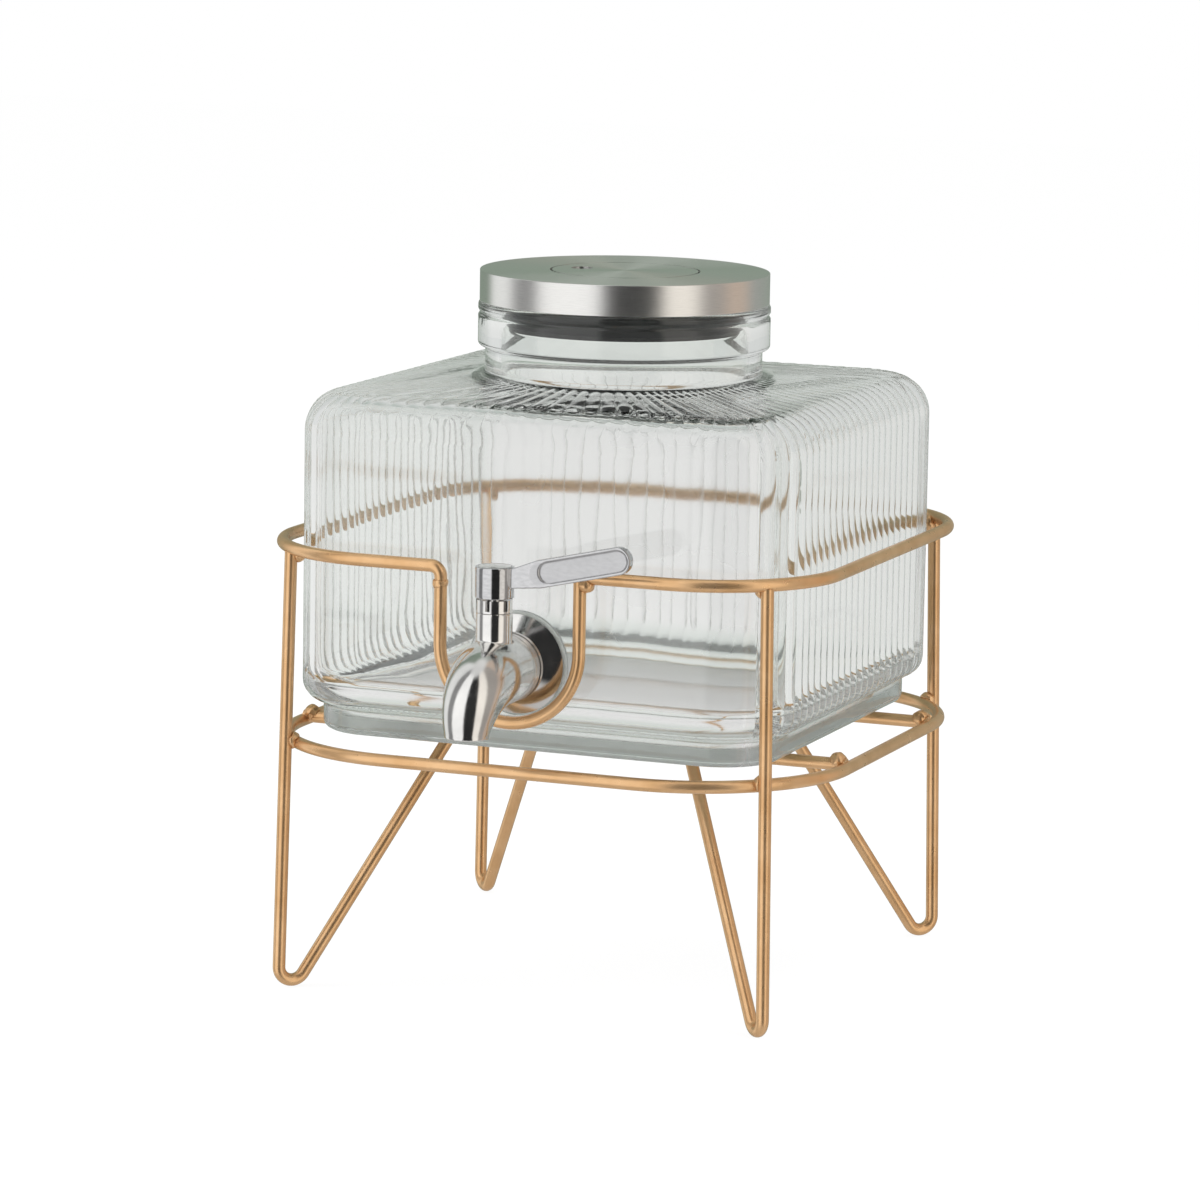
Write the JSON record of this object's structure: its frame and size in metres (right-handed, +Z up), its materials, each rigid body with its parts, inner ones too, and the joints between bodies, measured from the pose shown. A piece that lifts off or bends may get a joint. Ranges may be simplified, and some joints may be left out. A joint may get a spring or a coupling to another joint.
{
  "type": "glass beverage dispenser",
  "caption": "Square reeded glass jar with a lever tap and a steel lid with a flush handle, standing in a welded wire stand with hairpin legs.",
  "frame": {"origin": "on the surface that the stand's feet rest on, under the middle of the stand's rings", "axes": "+Z up; +X to the right seen from the tap side; the tap points to -Y"},
  "size_m": [0.235, 0.2804, 0.2798],
  "materials": {
    "stand_wire": "satin gold",
    "jar_glass": "clear, reeded",
    "tap_steel": "polished",
    "lever_steel": "satin cast",
    "screw_steel": "plain",
    "clear_silicone": "translucent",
    "black_seal": "matte",
    "lid_steel": "brushed",
    "plug_plastic": "matte"
  },
  "bodies": {
    "stand": {"upper_ring": "stand_wire", "tap_loop": "stand_wire", "lower_ring": "stand_wire", "front_crossbar": "stand_wire", "rear_crossbar": "stand_wire", "leg_front_left": "stand_wire", "leg_front_right": "stand_wire", "leg_rear_left": "stand_wire", "leg_rear_right": "stand_wire", "weld_beads": "stand_wire"},
    "jar": {"glass_jar": "jar_glass", "tap_barrel": "tap_steel", "barrel_seal": "black_seal", "tap_flange": "tap_steel", "outer_washer": "clear_silicone", "inner_washer": "clear_silicone", "tap_nut": "tap_steel", "tap_body": "tap_steel", "bonnet": "tap_steel"},
    "tap_lever": {"lever": "lever_steel", "valve_core": "tap_steel", "stem_seals": "black_seal", "lever_screw": "screw_steel", "hub_cap": "tap_steel"},
    "lid": {"lid_cap": "lid_steel", "handle_cup": "lid_steel", "handle_pin": "screw_steel", "lid_plug": "plug_plastic", "lid_seal": "black_seal"},
    "lid_handle": {"lid_handle": "lid_steel"}
  },
  "joints": [
    {"name": "jar_lift", "type": "slide", "parent": "stand", "child": "jar", "axis": [0, 0, 1], "range_m": [0, 0.09]},
    {"name": "lid_lift", "type": "slide", "parent": "jar", "child": "lid", "axis": [0, 0, 1], "range_m": [0, 0.04]},
    {"name": "lever_turn", "type": "hinge", "parent": "jar", "child": "tap_lever", "pos_m": [0, -0.129, 0.172], "axis": [0, 0, -1], "range_deg": [0, 90]},
    {"name": "handle_tilt", "type": "hinge", "parent": "lid", "child": "lid_handle", "pos_m": [-0.008, 0, 0.2772], "axis": [0, -1, 0], "range_deg": [0, 50]}
  ]
}
